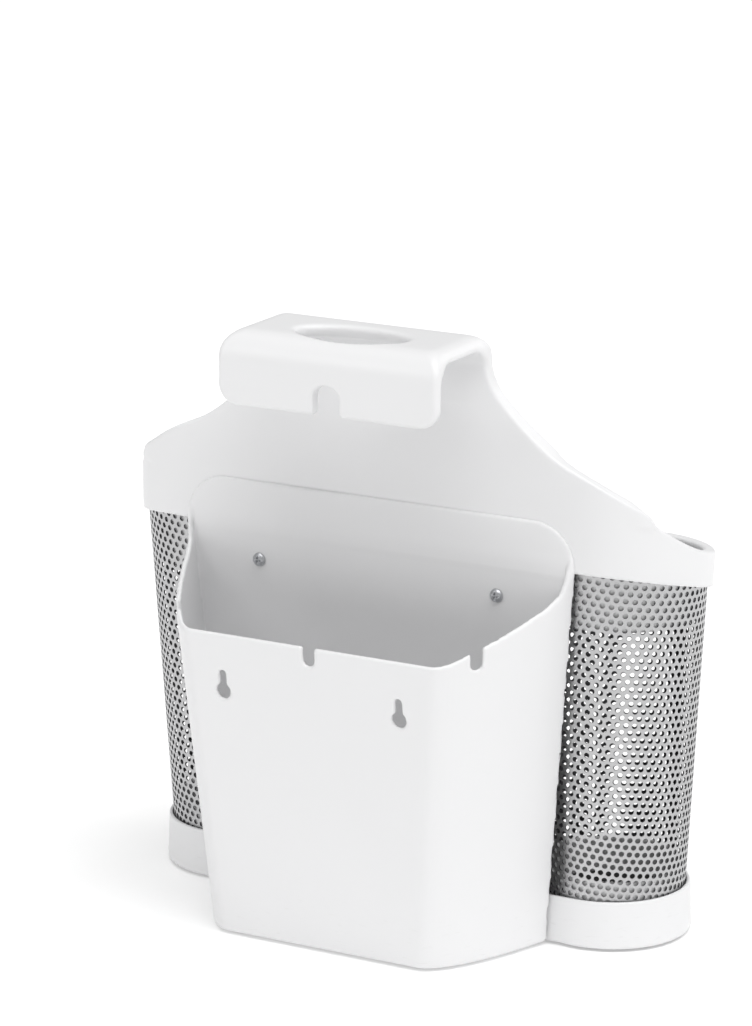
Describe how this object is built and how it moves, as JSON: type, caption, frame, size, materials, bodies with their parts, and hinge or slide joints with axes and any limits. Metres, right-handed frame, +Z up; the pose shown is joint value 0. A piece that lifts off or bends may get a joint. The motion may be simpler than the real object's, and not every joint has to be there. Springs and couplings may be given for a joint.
{
  "type": "hair tool holder",
  "caption": "Countertop or hang-up caddy for hot styling tools: perforated steel canisters in a white shell with an over-hook handle and a rear cord bin.",
  "frame": {"origin": "middle of the footprint, on the surface the feet stand on", "axes": "+Z up; -Y towards the user, where the canisters open; +Y towards the wall, where the cord bin is; +X to the user's right"},
  "size_m": [0.2808, 0.1588, 0.275],
  "materials": {
    "white_shell": "moulded white plastic, satin gloss",
    "white_bin": "moulded white plastic, satin gloss",
    "white_base": "moulded white plastic, satin gloss",
    "white_inner": "moulded white plastic",
    "steel_sheet": "perforated stainless sheet, satin",
    "silicone": "matt charcoal silicone",
    "foot_rubber": "matt black rubber",
    "screw_steel": "zinc-plated steel"
  },
  "bodies": {
    "frame": {"base": "white_base", "bin_screw_lower_left": "screw_steel", "bin_screw_lower_right": "screw_steel", "bin_screw_upper_left": "screw_steel", "bin_screw_upper_right": "screw_steel", "canister_centre": "steel_sheet", "canister_left": "steel_sheet", "canister_right": "steel_sheet", "collar_centre": "white_inner", "collar_left": "white_inner", "collar_right": "white_inner", "cord_bin": "white_bin", "foot_bin_left": "foot_rubber", "foot_bin_right": "foot_rubber", "foot_front_left": "foot_rubber", "foot_front_right": "foot_rubber", "foot_left": "foot_rubber", "foot_right": "foot_rubber", "post_screw_left": "screw_steel", "post_screw_right": "screw_steel", "tie_post_left": "white_inner", "tie_post_right": "white_inner", "top_shell": "white_shell"},
    "pad_left": {"pad_left": "silicone"},
    "pad_centre": {"pad_centre": "silicone"},
    "pad_right": {"pad_right": "silicone"}
  },
  "joints": [
    {"name": "pad_left_lift", "type": "slide", "parent": "frame", "child": "pad_left", "axis": [0, 0, 1], "range_m": [0, 0.2]},
    {"name": "pad_centre_lift", "type": "slide", "parent": "frame", "child": "pad_centre", "axis": [0, 0, 1], "range_m": [0, 0.2]},
    {"name": "pad_right_lift", "type": "slide", "parent": "frame", "child": "pad_right", "axis": [0, 0, 1], "range_m": [0, 0.2]}
  ]
}
